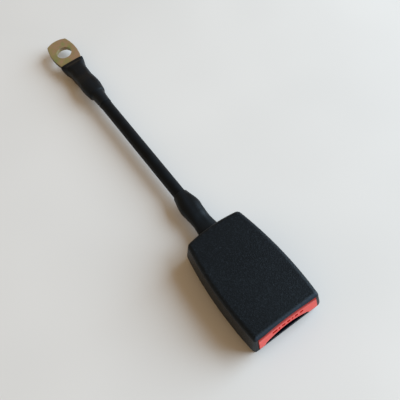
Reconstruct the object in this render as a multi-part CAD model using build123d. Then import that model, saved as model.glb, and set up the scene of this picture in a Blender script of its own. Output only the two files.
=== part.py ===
"""Seat belt buckle on a wire rope stalk, as an assembly of separate pieces.

Millimetres. The origin is the centre of the anchor bolt hole, on the seating face under the
anchor plate. +Y runs from the buckle's mouth to the tip of the anchor plate, +Z is up, out of
the buckle's broad top face. Pieces of the buckle head are drawn in the head's own frame, with
Y from the mouth and Z from the underside of the covers, and moved to their place at the end.
"""

import math
import os

from build123d import *

os.makedirs("parts", exist_ok=True)

# ---- Overall layout ----
HOLE_TO_MOUTH = 260.8
SEAT_HEIGHT = 7.0  # seating face of the anchor plate above the underside of the covers

# ---- Fits and gaps ----
RUN_GAP = 0.3  # between a piece and what slides past it
SEAM_GAP = 0.15  # in the lap joint of the covers
PIN_CLEARANCE = 0.05  # radial, latch on its pivot pin
RIVET_CLEARANCE = 0.03  # radial, a set rivet or pressed pin in its hole
ROPE_GAP = 0.05  # rope to what it lies against
SHRINK_GAP = 0.1  # heat shrink sleeve to what it is shrunk on

# ---- Covers, in the head's frame ----
COVER_HEIGHT = 22.3
PARTING_Z = 8.6
MOUTH_WIDTH = 47.0
WAIST_WIDTH = 48.8
BACK_WIDTH = 40.2
SIDE_LENGTH = 70.9
BACK_BOW = 2.1
FRONT_CORNER_R = 3.2
CORNER_MIN_R = 0.6  # where an inset leaves less of a corner
BACK_CORNER_R = 5.0
UPPER_DRAFT = 8.7  # degrees
LOWER_DRAFT = 10.5  # degrees
TOP_EDGE_R = 2.6
BOTTOM_EDGE_R = 1.2
COVER_WALL = 2.2
ROOF_THICKNESS = 2.1
FLOOR_THICKNESS = 2.0
LIP_THICKNESS = 0.9
LIP_HEIGHT = 1.6
LIP_FRONT_Y = 13.0
ROOF_FRONT_Y = 1.5  # front edge of the roof at its ends
ROOF_HOLLOW = 0.8  # how far that edge is hollowed in the middle
SLOT_WIDTH = 30.0
SLOT_LIP_Z = 5.5
SLOT_LIP_Y = 1.1
SLOT_LIP_DROP = 2.3  # height of the scallop in front of the slot
CORNER_POST_DEPTH = 2.8  # of the posts beside the slot, from the mouth
HOLD_DOWN_FRONT_Y = 22.0  # ribs under the roof, over the frame's walls
HOLD_DOWN_REAR_Y = 36.0
FRAME_PAD_X = 9.0  # strips under the frame's base
TAIL_PAD_X = 5.9  # strips under the frame's tail
TAIL_PAD_FRONT = 6.0  # ahead of the head's rivet
TAIL_PAD_REAR = 4.0  # behind it
PAD_WIDTH = 1.5
SIDE_RIB_T = 1.05  # ribs outside the frame's walls
SIDE_RIB_FRONT_Y = 14.0
SIDE_RIB_REAR_Y = 28.0
SPRING_POST_H = 1.6

# ---- Cover screws ----
SCREW_X = 16.2
SCREW_Y = 50.0
SCREW_R = 1.45
SCREW_HEAD_R = 2.6
SCREW_HEAD_H = 1.8
SCREW_HEAD_RECESS = 1.0
SCREW_LENGTH = 13.0
BOSS_R = 3.0

# ---- Release button ----
BUTTON_HALF_LOW = 20.0
BUTTON_HALF_TOP = 19.5
BUTTON_LOW_Z = 10.0
BUTTON_FRONT_LOW_Y = -0.3
BUTTON_THICKNESS = 3.0
BUTTON_BEVEL = 0.8
BUTTON_TRAVEL = 6.0
ARCH_HALF = 15.0
ARCH_FOOT = 2.7
ARCH_RISE = 4.4
ARCH_SPLAY = 1.8  # how much wider the arch is at the button's lower edge
ARM_INNER_X = 9.2
ARM_OUTER_X = 12.6
ARM_LOW_Z = 9.4
ARM_TIP_Y = 23.0
SPRING_BLOCK_REAR_Y = 11.0
BUTTON_SPRING_X = 17.5
BUTTON_SPRING_Z = 13.5
BUTTON_SPRING_R = 1.6
BUTTON_SPRING_WIRE = 0.45
BUTTON_SPRING_TURNS = 9
BUTTON_SPRING_SEAT_Y = 6.0
BUTTON_STOP_Y = 31.0
BUTTON_STOP_T = 2.0
BUTTON_STOP_OUTER_X = 19.7
BUTTON_STOP_TOP_Z = 16.0
CATCH_INNER_X = 16.5  # catch on the floor that keeps the button in
CATCH_OUTER_X = 19.6
CATCH_FRONT_Y = 6.0
CATCH_T = 1.8
LUG_FRONT_Y = 8.0  # lug under the button's carrier that meets the catch
LUG_LOW_Z = 7.6

# ---- Steel frame ----
FRAME_INNER = 26.0
FRAME_T = 2.0
FRAME_LOW_Z = 3.0
FRAME_FRONT_Y = 3.5
FRAME_WALL_FRONT_Y = 12.3
FRAME_WALL_REAR_Y = 42.5
FRAME_TOP_Z = 17.0
FRAME_CORNER_R = 3.5
JOGGLE_START_Y = 49.0
JOGGLE_LENGTH = 4.5
JOGGLE_RISE = 1.8
TAIL_HALF = 8.2
SPRING_TAB_Y = 45.5
SPRING_TAB_HALF = 5.0
SPRING_TAB_H = 5.8

# ---- Latch ----
PIVOT_Y = 38.0
PIVOT_Z = 13.2
PIVOT_R = 2.0
LATCH_T = 2.5
LATCH_LOW_Z = 12.0
LATCH_HALF = 8.0
LATCH_FLANGE_T = 2.0
LATCH_EYE_R = 3.8
NOSE_FRONT_Y = 16.0
NOSE_LENGTH = 2.6
NOSE_HALF = 4.4
NOSE_LOW_Z = 4.2
TAB_FRONT_Y = 19.0
TAB_LENGTH = 3.5
TAB_OUTER_X = 12.4
LATCH_LIFT = 11.5  # degrees, at the button's full travel
LATCH_SPRING_Y = 24.5
LATCH_SPRING_R = 2.6
LATCH_SPRING_WIRE = 0.6
LATCH_SPRING_TURNS = 3

# ---- Ejector ----
EJECTOR_FRONT_Y = 13.0
EJECTOR_LENGTH = 17.0
EJECTOR_TRAVEL = 11.0
EJECTOR_H = 3.5
EJECTOR_FORK = 11.0  # length of the fork around the latch's nose
HUMP_HALF = 4.3
HUMP_TOP_Z = 10.8
SPIGOT_R = 1.4
SPIGOT_LENGTH = 3.0
GUIDE_LUG_FRONT_Y = 25.0
GUIDE_LUG_LENGTH = 3.0
GUIDE_LUG_H = 1.8
EJECTOR_SPRING_R = 2.4
EJECTOR_SPRING_WIRE = 0.6
EJECTOR_SPRING_TURNS = 8

# ---- Wire rope stalk ----
ROPE_D = 3.5
BUSH_R = 3.0
RIVET_R = 2.1
RIVET_HEAD_R = 3.8
RIVET_HEAD_H = 1.3
RIVET_HEAD_ROUND = 0.7
KEEPER_R = 5.8
KEEPER_T = 1.3
FERRULE_WIDTH = 11.4
FERRULE_HEIGHT = 8.0
FERRULE_LENGTH = 10.5
FERRULE_CHAMFER = 0.8
HEAD_RIVET_SETBACK = 10.9  # ahead of the covers' rear
HEAD_LEG_LENGTH = 8.0  # parallel rope past the head's rivet
FERRULE_STANDOFF = 16.6  # from the end of the covers' sides to the head's ferrule
ANCHOR_RIVET_Y = -21.5
ANCHOR_LEG_LENGTH = 4.5  # parallel rope past the anchor's rivet
ANCHOR_FERRULE_Y = -48.5  # its end towards the mouth
LEG_LEAD = 1.7  # straight rope before a ferrule
LEG_BEND_R = 7.0
ROPE_BUTT_GAP = 0.3  # between the rope's two ends, inside the anchor's ferrule
SHEATH_D = 8.3
SHEATH_GAP = 0.3  # from either end of the sheath to a ferrule
HEAD_SLEEVE_WALL = 1.3
SLEEVE_INSET = 2.1  # of the head's sleeve, inside the end of the covers' sides
SLEEVE_WAIST_Y = 11.6  # from the end of the covers' sides
SLEEVE_WAIST_WIDTH = 10.0
SLEEVE_WAIST_HEIGHT = 5.4
SLEEVE_TAPER = 4.0  # from a ferrule down to the sheath
SLEEVE_OVERLAP = 2.6  # along the sheath, past the taper
ANCHOR_SLEEVE_WALL = 0.85
ANCHOR_SLEEVE_STEP = 1.6  # along the sheath, past the anchor's ferrule
SLEEVE_MOUTH_Y = -11.8
SLEEVE_SHOULDER_HALF = 7.6  # just inside the anchor sleeve's mouth
SLEEVE_SHOULDER_Y = -14.6

# ---- Anchor plate ----
PLATE_T = 3.0
BOLT_HOLE_R = 5.65
PLATE_HALF = 9.9  # at the hole
PLATE_SIDE_R = 39.0
PLATE_TIP_R = 14.8  # about the hole's centre
PLATE_TAIL_HALF = 5.6
BARREL_END_Y = -16.5
PLATE_EDGE_R = 0.4
TAIL_RELIEF = 0.2  # the tail's underside stands back from the seating face
TAIL_RELIEF_Y = -11.4

HEAD = Pos(0, -HOLE_TO_MOUTH, -SEAT_HEIGHT)
FRAME_TOP_OF_BASE = FRAME_LOW_Z + FRAME_T
ROOF_LOW_Z = COVER_HEIGHT - ROOF_THICKNESS
BUTTON_TOP_Z = ROOF_LOW_Z - RUN_GAP
ROPE_R = ROPE_D / 2
EYE_R = BUSH_R + ROPE_R + ROPE_GAP
LEG_X = ROPE_R + ROPE_GAP
TAIL_TOP_Z = FRAME_TOP_OF_BASE + JOGGLE_RISE
HEAD_ROPE_Z = TAIL_TOP_Z + ROPE_GAP + ROPE_R
HEAD_RIVET_Y = SIDE_LENGTH - HEAD_RIVET_SETBACK
HEAD_FERRULE_Y = SIDE_LENGTH + FERRULE_STANDOFF
HEAD_SLEEVE_START_Y = SIDE_LENGTH - SLEEVE_INSET
EYE_HEIGHT = ROPE_D + 2 * ROPE_GAP


def write(name, piece):
    """Write one piece, placed in the assembly, as its own file."""
    export_step(piece, "parts/" + name + ".step")


def block(x0, x1, y0, y1, z0, z1):
    """Box between two corners."""
    return Pos((x0 + x1) / 2, (y0 + y1) / 2, (z0 + z1) / 2) * Box(x1 - x0, y1 - y0, z1 - z0)


def both_sides(piece):
    """The piece and its mirror image across the middle plane."""
    return piece + mirror(piece, about=Plane.YZ)


def side_prism(points, x0, x1):
    """Outline in Y and Z, run along X from x0 to x1."""
    face = make_face(Plane.YZ.offset(x0) * Polyline(*points, close=True))
    return extrude(face, amount=x1 - x0)


def rod(x, y, z0, z1, radius):
    """Upright round bar."""
    return Pos(x, y, (z0 + z1) / 2) * Cylinder(radius, z1 - z0)


def rod_along_y(x, z, y0, y1, radius):
    """Round bar along Y."""
    return Pos(x, (y0 + y1) / 2, z) * Rot(90, 0, 0) * Cylinder(radius, y1 - y0)


def rod_along_x(y, z, x0, x1, radius):
    """Round bar along X."""
    return Pos((x0 + x1) / 2, y, z) * Rot(0, 90, 0) * Cylinder(radius, x1 - x0)


def coil(radius, wire, length, turns):
    """Compression spring standing on Z = 0, radius to the outside of the wire."""
    mean = radius - wire / 2
    height = length - wire
    path = Helix(pitch=height / turns, height=height, radius=mean)
    section = Plane(origin=path @ 0, z_dir=path % 0) * RegularPolygon(wire / 2, 6)
    return Pos(0, 0, wire / 2) * sweep(section, path=path, is_frenet=True)


# ---- Covers: two moulded shells that share one outline at the parting plane ----
def head_outline(inset=0.0):
    """Plan outline of the covers at the parting plane, moved inwards by inset."""
    front, waist, back = MOUTH_WIDTH / 2, WAIST_WIDTH / 2, BACK_WIDTH / 2
    lines = [
        Line((-front, 0), (front, 0)),
        ThreePointArc((front, 0), (waist, SIDE_LENGTH / 2), (back, SIDE_LENGTH)),
        ThreePointArc((back, SIDE_LENGTH), (0, SIDE_LENGTH + BACK_BOW), (-back, SIDE_LENGTH)),
        ThreePointArc((-back, SIDE_LENGTH), (-waist, SIDE_LENGTH / 2), (-front, 0)),
    ]
    face = make_face(Curve() + lines)
    if inset:
        face = offset(face, -inset, kind=Kind.INTERSECTION)
    front_r = max(FRONT_CORNER_R - inset, CORNER_MIN_R)
    back_r = max(BACK_CORNER_R - inset, CORNER_MIN_R)
    face = fillet(face.vertices().sort_by(Axis.Y)[:2], front_r)
    return fillet(face.vertices().sort_by(Axis.Y)[-2:], back_r)


def drafted(inset, from_z, to_z, draft):
    """Block between two heights whose walls lean inwards by the draft, away from from_z."""
    lean = abs(to_z - from_z) * math.tan(math.radians(draft))
    wide = Pos(0, 0, from_z) * head_outline(inset)
    narrow = Pos(0, 0, to_z) * head_outline(inset + lean)
    return loft([wide, narrow] if to_z > from_z else [narrow, wide], ruled=True)


def upper_form(inset, top_z):
    """Drafted block above the parting plane."""
    return drafted(inset, PARTING_Z, top_z, UPPER_DRAFT)


def lower_form(inset, low_z):
    """Drafted block below the parting plane."""
    return drafted(inset, PARTING_Z, low_z, LOWER_DRAFT)


def sleeve_port():
    """Opening in the covers' back wall, around the stalk's sleeve."""
    half = head_leg_x(HEAD_SLEEVE_START_Y) + ROPE_R + SHRINK_GAP + HEAD_SLEEVE_WALL
    width = 2 * (half + RUN_GAP)
    height = ROPE_D + 2 * SHRINK_GAP + 2 * HEAD_SLEEVE_WALL + 2 * RUN_GAP
    plane = Plane(origin=(0, SIDE_LENGTH + 2 * BACK_BOW, HEAD_ROPE_Z), x_dir=(1, 0, 0), z_dir=(0, -1, 0))
    return extrude(plane * RectangleRounded(width, height, height / 2 - 0.1), amount=4 * BACK_BOW)


def head_leg_x(y):
    """Distance of a rope leg from the middle plane at y, between the head's rivet and ferrule."""
    start, end = HEAD_RIVET_Y + HEAD_LEG_LENGTH, HEAD_FERRULE_Y - LEG_LEAD
    share = min(max((y - start) / (end - start), 0), 1)
    return EYE_R + share * (LEG_X - EYE_R)


def upper_cover():
    """Top shell: drafted walls, rounded edge, open mouth, bosses for the screws."""
    shell = upper_form(0, COVER_HEIGHT)
    shell = fillet(shell.faces().sort_by(Axis.Z)[-1].edges(), TOP_EDGE_R)
    shell -= upper_form(COVER_WALL, ROOF_LOW_Z)
    low, top = BUTTON_HALF_LOW + RUN_GAP, BUTTON_HALF_TOP + RUN_GAP
    mouth_points = [
        (-low, 0),
        (low, 0),
        (low, BUTTON_LOW_Z),
        (top, ROOF_LOW_Z),
        (-top, ROOF_LOW_Z),
        (-low, BUTTON_LOW_Z),
    ]
    mouth = Plane(origin=(0, -COVER_WALL, 0), x_dir=(1, 0, 0), z_dir=(0, -1, 0))
    shell -= extrude(make_face(mouth * Polyline(*mouth_points, close=True)), amount=-4 * COVER_WALL)
    hollow_r = (top**2 + ROOF_HOLLOW**2) / (2 * ROOF_HOLLOW)
    roof_z = (ROOF_LOW_Z - 1, COVER_HEIGHT + 1)
    hollow = rod(0, ROOF_FRONT_Y + ROOF_HOLLOW - hollow_r, *roof_z, hollow_r)
    shell -= hollow & block(-top, top, -COVER_WALL, ROOF_FRONT_Y + ROOF_HOLLOW, *roof_z)
    shell -= sleeve_port()
    inside = upper_form(COVER_WALL / 2, ROOF_LOW_Z + ROOF_THICKNESS / 2)
    boss = rod(SCREW_X, SCREW_Y, PARTING_Z, ROOF_LOW_Z + ROOF_THICKNESS / 2, BOSS_R)
    pilot_top = SCREW_HEAD_RECESS + SCREW_HEAD_H + SCREW_LENGTH + RUN_GAP
    boss -= rod(SCREW_X, SCREW_Y, PARTING_Z - 1, pilot_top, SCREW_R + RIVET_CLEARANCE)
    wall_x = FRAME_INNER / 2
    ribs_y = (HOLD_DOWN_FRONT_Y, HOLD_DOWN_REAR_Y)
    hold_down = block(wall_x, wall_x + FRAME_T, *ribs_y, FRAME_TOP_Z, ROOF_LOW_Z + 1)
    shell += both_sides((boss + hold_down) & inside)
    post_r = LATCH_SPRING_R - LATCH_SPRING_WIRE - RUN_GAP
    return shell + rod(0, LATCH_SPRING_Y, ROOF_LOW_Z - SPRING_POST_H, ROOF_LOW_Z + 1, post_r)


def lower_cover():
    """Bottom shell: tray with the slot lip, lap joint, pads for the frame and screw bosses."""
    shell = lower_form(0, 0)
    shell = fillet(shell.faces().sort_by(Axis.Z)[0].edges(), BOTTOM_EDGE_R)
    cavity = lower_form(COVER_WALL, FLOOR_THICKNESS)
    shell -= cavity
    lap_hole = head_outline(COVER_WALL + SEAM_GAP + LIP_THICKNESS)
    lip = upper_form(COVER_WALL + SEAM_GAP, PARTING_Z + LIP_HEIGHT)
    lip -= Pos(0, 0, PARTING_Z - 1) * extrude(lap_hole, amount=1 + 2 * LIP_HEIGHT)
    root = extrude(Pos(0, 0, PARTING_Z - LIP_HEIGHT) * head_outline(COVER_WALL / 2), amount=LIP_HEIGHT)
    root -= extrude(Pos(0, 0, PARTING_Z - LIP_HEIGHT) * lap_hole, amount=LIP_HEIGHT)
    root &= lower_form(COVER_WALL / 2, 0)
    behind_button = block(-MOUTH_WIDTH, MOUTH_WIDTH, LIP_FRONT_Y, 2 * SIDE_LENGTH, 0, COVER_HEIGHT)
    shell += (lip + root) & behind_button
    corner_top = BUTTON_LOW_Z - RUN_GAP
    post_x = (SLOT_WIDTH / 2, BUTTON_HALF_LOW - SEAM_GAP)
    corner = block(*post_x, 0, CORNER_POST_DEPTH, PARTING_Z - 1, corner_top)
    shell += both_sides(corner & (upper_form(SEAM_GAP, COVER_HEIGHT) + lower_form(SEAM_GAP, 0)))
    half = SLOT_WIDTH / 2
    shell -= block(-half, half, -1, 3 * COVER_WALL, SLOT_LIP_Z, COVER_HEIGHT)
    shell -= block(-half, half, -1, SLOT_LIP_Y, SLOT_LIP_Z - SLOT_LIP_DROP, COVER_HEIGHT)
    shell -= sleeve_port()
    rooted = FLOOR_THICKNESS / 2
    rib_x = FRAME_INNER / 2 + FRAME_T + SEAM_GAP
    frame_y = (FRAME_FRONT_Y + 2, FRAME_WALL_REAR_Y)
    tail_y = (HEAD_RIVET_Y - TAIL_PAD_FRONT, HEAD_RIVET_Y + TAIL_PAD_REAR)
    rib_y = (SIDE_RIB_FRONT_Y, SIDE_RIB_REAR_Y)
    stop_y = (BUTTON_STOP_Y, BUTTON_STOP_Y + BUTTON_STOP_T)
    catch_y = (CATCH_FRONT_Y, CATCH_FRONT_Y + CATCH_T)
    extras = block(FRAME_PAD_X, FRAME_PAD_X + PAD_WIDTH, *frame_y, rooted, FRAME_LOW_Z)
    extras += block(TAIL_PAD_X, TAIL_PAD_X + PAD_WIDTH, *tail_y, rooted, FRAME_LOW_Z + JOGGLE_RISE)
    extras += block(rib_x, rib_x + SIDE_RIB_T, *rib_y, rooted, PARTING_Z)
    extras += block(rib_x, BUTTON_STOP_OUTER_X, *stop_y, rooted, BUTTON_STOP_TOP_Z)
    extras += block(CATCH_INNER_X, CATCH_OUTER_X, *catch_y, rooted, BUTTON_LOW_Z - RUN_GAP)
    extras += rod(SCREW_X, SCREW_Y, rooted, PARTING_Z, BOSS_R)
    room = lower_form(COVER_WALL / 2, 0) + upper_form(COVER_WALL + SEAM_GAP, COVER_HEIGHT)
    shell += both_sides(extras) & room
    recess_z = SCREW_HEAD_RECESS + SCREW_HEAD_H
    well = rod(SCREW_X, SCREW_Y, -1, recess_z, SCREW_HEAD_R + SEAM_GAP)
    hole = rod(SCREW_X, SCREW_Y, 0, PARTING_Z + 1, SCREW_R + SEAM_GAP)
    shell -= both_sides(well + hole)
    return shell


def cover_screws():
    """Two pan head self-tapping screws, driven from below."""
    head_low = SCREW_HEAD_RECESS
    head = rod(SCREW_X, SCREW_Y, head_low, head_low + SCREW_HEAD_H, SCREW_HEAD_R)
    head = fillet(head.edges().filter_by(GeomType.CIRCLE).sort_by(Axis.Z)[0], 0.8)
    shank_low = head_low + SCREW_HEAD_H
    shank = rod(SCREW_X, SCREW_Y, shank_low, shank_low + SCREW_LENGTH, SCREW_R)
    shank = chamfer(shank.edges().filter_by(GeomType.CIRCLE).sort_by(Axis.Z)[-1], 0.8)
    return both_sides(head + shank)


# ---- Release button and its springs ----
def release_button():
    """Red end button: raked, hollowed face over the slot, wedge arms and spring pockets."""
    half, low_z, top_z = BUTTON_HALF_LOW, BUTTON_LOW_Z, BUTTON_TOP_Z
    y_low, y_top = BUTTON_FRONT_LOW_Y, ROOF_FRONT_Y
    low_lines = Curve() + [
        ThreePointArc((-half, y_low), (0, y_low + 0.1), (half, y_low)),
        Line((half, y_low), (half, y_low + BUTTON_THICKNESS)),
        Line((half, y_low + BUTTON_THICKNESS), (-half, y_low + BUTTON_THICKNESS)),
        Line((-half, y_low + BUTTON_THICKNESS), (-half, y_low)),
    ]
    top = BUTTON_HALF_TOP
    top_lines = Curve() + [
        ThreePointArc((-top, y_top), (0, y_top + ROOF_HOLLOW), (top, y_top)),
        Line((top, y_top), (top, y_top + BUTTON_THICKNESS)),
        Line((top, y_top + BUTTON_THICKNESS), (-top, y_top + BUTTON_THICKNESS)),
        Line((-top, y_top + BUTTON_THICKNESS), (-top, y_top)),
    ]
    ends = [Pos(0, 0, low_z) * make_face(low_lines), Pos(0, 0, top_z) * make_face(top_lines)]
    face = loft(ends, ruled=True)
    top_front = face.edges().group_by(Axis.Z)[-1].sort_by(Axis.Y)[0]
    face = chamfer(top_front, BUTTON_BEVEL)
    foot_z = low_z + ARCH_FOOT
    splay = ARCH_HALF + ARCH_SPLAY
    arch = Curve() + [
        Line((-splay, low_z), (-ARCH_HALF, foot_z)),
        ThreePointArc((-ARCH_HALF, foot_z), (0, low_z + ARCH_RISE), (ARCH_HALF, foot_z)),
        Line((ARCH_HALF, foot_z), (splay, low_z)),
        Line((splay, low_z), (-splay, low_z)),
    ]
    face -= extrude(make_face(Plane.XZ * arch), amount=2 * BUTTON_THICKNESS, both=True)
    back_y = BUTTON_THICKNESS - 1
    wedge_z = LATCH_LOW_Z - RUN_GAP
    rise = math.tan(math.radians(wedge_angle()))
    run = BUTTON_TRAVEL
    tip_z = wedge_z - (ARM_TIP_Y - TAB_FRONT_Y) * rise
    arm_top = wedge_z + run * rise
    arm = side_prism(
        [
            (back_y, ARM_LOW_Z + ARCH_RISE + 0.4),
            (back_y + 3.5, ARM_LOW_Z),
            (ARM_TIP_Y, ARM_LOW_Z),
            (ARM_TIP_Y, max(tip_z, ARM_LOW_Z + 0.2)),
            (ARM_TIP_Y - 0.4, max(tip_z, ARM_LOW_Z + 0.2) + 0.4 * rise),
            (TAB_FRONT_Y - run, arm_top),
            (back_y, arm_top),
        ],
        ARM_INNER_X,
        ARM_OUTER_X,
    )
    block_low = BUTTON_SPRING_Z - BUTTON_SPRING_R - 0.8
    block_top = BUTTON_SPRING_Z + BUTTON_SPRING_R + 0.8
    block_in, block_out = BUTTON_SPRING_X - BUTTON_SPRING_R - 0.7, BUTTON_SPRING_X + BUTTON_SPRING_R + 0.7
    carrier = block(block_in, block_out, back_y, SPRING_BLOCK_REAR_Y, block_low, block_top)
    lug_x = (CATCH_INNER_X + SEAM_GAP, CATCH_OUTER_X - SEAM_GAP)
    carrier += block(*lug_x, LUG_FRONT_Y, SPRING_BLOCK_REAR_Y, LUG_LOW_Z, block_low)
    pocket_r = BUTTON_SPRING_R + SEAM_GAP
    pocket_y = (BUTTON_SPRING_SEAT_Y, SPRING_BLOCK_REAR_Y + 1)
    carrier -= rod_along_y(BUTTON_SPRING_X, BUTTON_SPRING_Z, *pocket_y, pocket_r)
    return face + both_sides(arm + carrier)


def wedge_angle():
    """Ramp angle that lifts the latch's tabs by their swing over the button's travel."""
    reach = PIVOT_Y - TAB_FRONT_Y
    drop = PIVOT_Z - LATCH_LOW_Z
    swing = math.radians(LATCH_LIFT)
    lift = reach * math.sin(swing) + drop * (1 - math.cos(swing))
    return math.degrees(math.atan2(lift - SEAM_GAP, BUTTON_TRAVEL))


def button_springs():
    """Pair of coil springs from the button's pockets to the stops in the lower cover."""
    length = BUTTON_STOP_Y - BUTTON_SPRING_SEAT_Y
    spring = coil(BUTTON_SPRING_R, BUTTON_SPRING_WIRE, length, BUTTON_SPRING_TURNS)
    sides = (-BUTTON_SPRING_X, BUTTON_SPRING_X)
    placed = [Pos(x, BUTTON_STOP_Y, BUTTON_SPRING_Z) * Rot(90, 0, 0) * spring for x in sides]
    return Compound(children=placed)


# ---- Steel frame ----
def frame():
    """Folded U channel with a joggled tail: tongue guide, latch window, pivot holes, spring tab."""
    inner = FRAME_INNER / 2
    outer = inner + FRAME_T
    low, top = FRAME_LOW_Z, FRAME_TOP_OF_BASE
    tail_end = HEAD_RIVET_Y + TAIL_HALF
    jog_end = JOGGLE_START_Y + JOGGLE_LENGTH
    strip = side_prism(
        [
            (FRAME_FRONT_Y, low),
            (JOGGLE_START_Y, low),
            (jog_end, low + JOGGLE_RISE),
            (tail_end, low + JOGGLE_RISE),
            (tail_end, top + JOGGLE_RISE),
            (jog_end - 0.6, top + JOGGLE_RISE),
            (JOGGLE_START_Y - 0.6, top),
            (FRAME_FRONT_Y, top),
        ],
        -outer,
        outer,
    )
    neck_y = FRAME_WALL_REAR_Y + 1
    plan = Curve() + [
        Line((-outer, FRAME_FRONT_Y), (outer, FRAME_FRONT_Y)),
        Line((outer, FRAME_FRONT_Y), (outer, neck_y)),
        Line((outer, neck_y), (TAIL_HALF, JOGGLE_START_Y)),
        Line((TAIL_HALF, JOGGLE_START_Y), (TAIL_HALF, HEAD_RIVET_Y)),
        ThreePointArc((TAIL_HALF, HEAD_RIVET_Y), (0, tail_end), (-TAIL_HALF, HEAD_RIVET_Y)),
        Line((-TAIL_HALF, HEAD_RIVET_Y), (-TAIL_HALF, JOGGLE_START_Y)),
        Line((-TAIL_HALF, JOGGLE_START_Y), (-outer, neck_y)),
        Line((-outer, neck_y), (-outer, FRAME_FRONT_Y)),
    ]
    plan_face = make_face(plan)
    plan_face = fillet(plan_face.vertices().sort_by(Axis.Y)[:2], FRAME_CORNER_R)
    base = strip & extrude(plan_face, amount=COVER_HEIGHT)
    wall = side_prism(
        [
            (FRAME_WALL_FRONT_Y, top - 0.5),
            (FRAME_WALL_REAR_Y, top - 0.5),
            (FRAME_WALL_REAR_Y, FRAME_TOP_Z - FRAME_CORNER_R),
            (FRAME_WALL_REAR_Y - FRAME_CORNER_R, FRAME_TOP_Z),
            (FRAME_WALL_FRONT_Y + FRAME_CORNER_R, FRAME_TOP_Z),
            (FRAME_WALL_FRONT_Y, FRAME_TOP_Z - FRAME_CORNER_R),
        ],
        inner,
        outer,
    )
    slot_end = GUIDE_LUG_FRONT_Y + GUIDE_LUG_LENGTH + EJECTOR_TRAVEL
    lug_low = FRAME_TOP_OF_BASE + RUN_GAP + 0.4
    wall -= block(
        inner - 1,
        outer + 1,
        GUIDE_LUG_FRONT_Y - SEAM_GAP,
        slot_end + SEAM_GAP,
        lug_low - SEAM_GAP,
        lug_low + GUIDE_LUG_H + SEAM_GAP,
    )
    wall -= rod_along_x(PIVOT_Y, PIVOT_Z, inner - 1, outer + 1, PIVOT_R + RIVET_CLEARANCE)
    body = base + both_sides(wall)
    tab_y = (SPRING_TAB_Y, SPRING_TAB_Y + FRAME_T)
    body += block(-SPRING_TAB_HALF, SPRING_TAB_HALF, *tab_y, low, top + SPRING_TAB_H)
    nose_half = NOSE_HALF + RUN_GAP
    window_y = NOSE_FRONT_Y - 2 * RUN_GAP
    body -= block(-nose_half, nose_half, window_y, NOSE_FRONT_Y + NOSE_LENGTH + RUN_GAP, low - 1, top + 1)
    body -= rod(0, HEAD_RIVET_Y, low, COVER_HEIGHT, RIVET_R + RIVET_CLEARANCE)
    return body


# ---- Latch, its pin and its spring ----
def latch():
    """Pawl: plate with a hooked nose, side flanges on the pin and two lifting tabs."""
    low, top = LATCH_LOW_Z, LATCH_LOW_Z + LATCH_T
    nose_rear = NOSE_FRONT_Y + NOSE_LENGTH
    flange_in = LATCH_HALF - LATCH_FLANGE_T
    plate_rear = PIVOT_Y - LATCH_EYE_R
    plate = block(-LATCH_HALF, LATCH_HALF, nose_rear - 1, plate_rear, low, top)
    nose = side_prism(
        [
            (NOSE_FRONT_Y + 1.4, NOSE_LOW_Z),
            (nose_rear, NOSE_LOW_Z),
            (nose_rear, top),
            (NOSE_FRONT_Y + 0.8, top),
            (NOSE_FRONT_Y, top - 0.8),
            (NOSE_FRONT_Y, NOSE_LOW_Z + 2.4),
        ],
        -NOSE_HALF,
        NOSE_HALF,
    )
    flange = side_prism(
        [
            (plate_rear - 6, top),
            (plate_rear - 6, low),
            (PIVOT_Y, PIVOT_Z - LATCH_EYE_R),
            (PIVOT_Y, PIVOT_Z + LATCH_EYE_R),
        ],
        flange_in,
        LATCH_HALF,
    )
    flange += rod_along_x(PIVOT_Y, PIVOT_Z, flange_in, LATCH_HALF, LATCH_EYE_R)
    flange -= rod_along_x(PIVOT_Y, PIVOT_Z, flange_in - 1, LATCH_HALF + 1, PIVOT_R + PIN_CLEARANCE)
    tab = block(LATCH_HALF - 1, TAB_OUTER_X, TAB_FRONT_Y, TAB_FRONT_Y + TAB_LENGTH, low, top)
    return plate + nose + both_sides(flange + tab)


def latch_pin():
    """Pivot pin, headed over outside the frame's walls."""
    outer = FRAME_INNER / 2 + FRAME_T
    pin = rod_along_x(PIVOT_Y, PIVOT_Z, -outer - 0.1, outer + 0.1, PIVOT_R)
    head = rod_along_x(PIVOT_Y, PIVOT_Z, outer + 0.1, outer + 0.9, PIVOT_R + 0.7)
    return pin + both_sides(head)


def latch_spring():
    """Short coil spring from the cover's post down to the latch."""
    low = LATCH_LOW_Z + LATCH_T + ROPE_GAP
    length = ROOF_LOW_Z - ROPE_GAP - low
    return Pos(0, LATCH_SPRING_Y, low) * coil(LATCH_SPRING_R, LATCH_SPRING_WIRE, length, LATCH_SPRING_TURNS)


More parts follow.
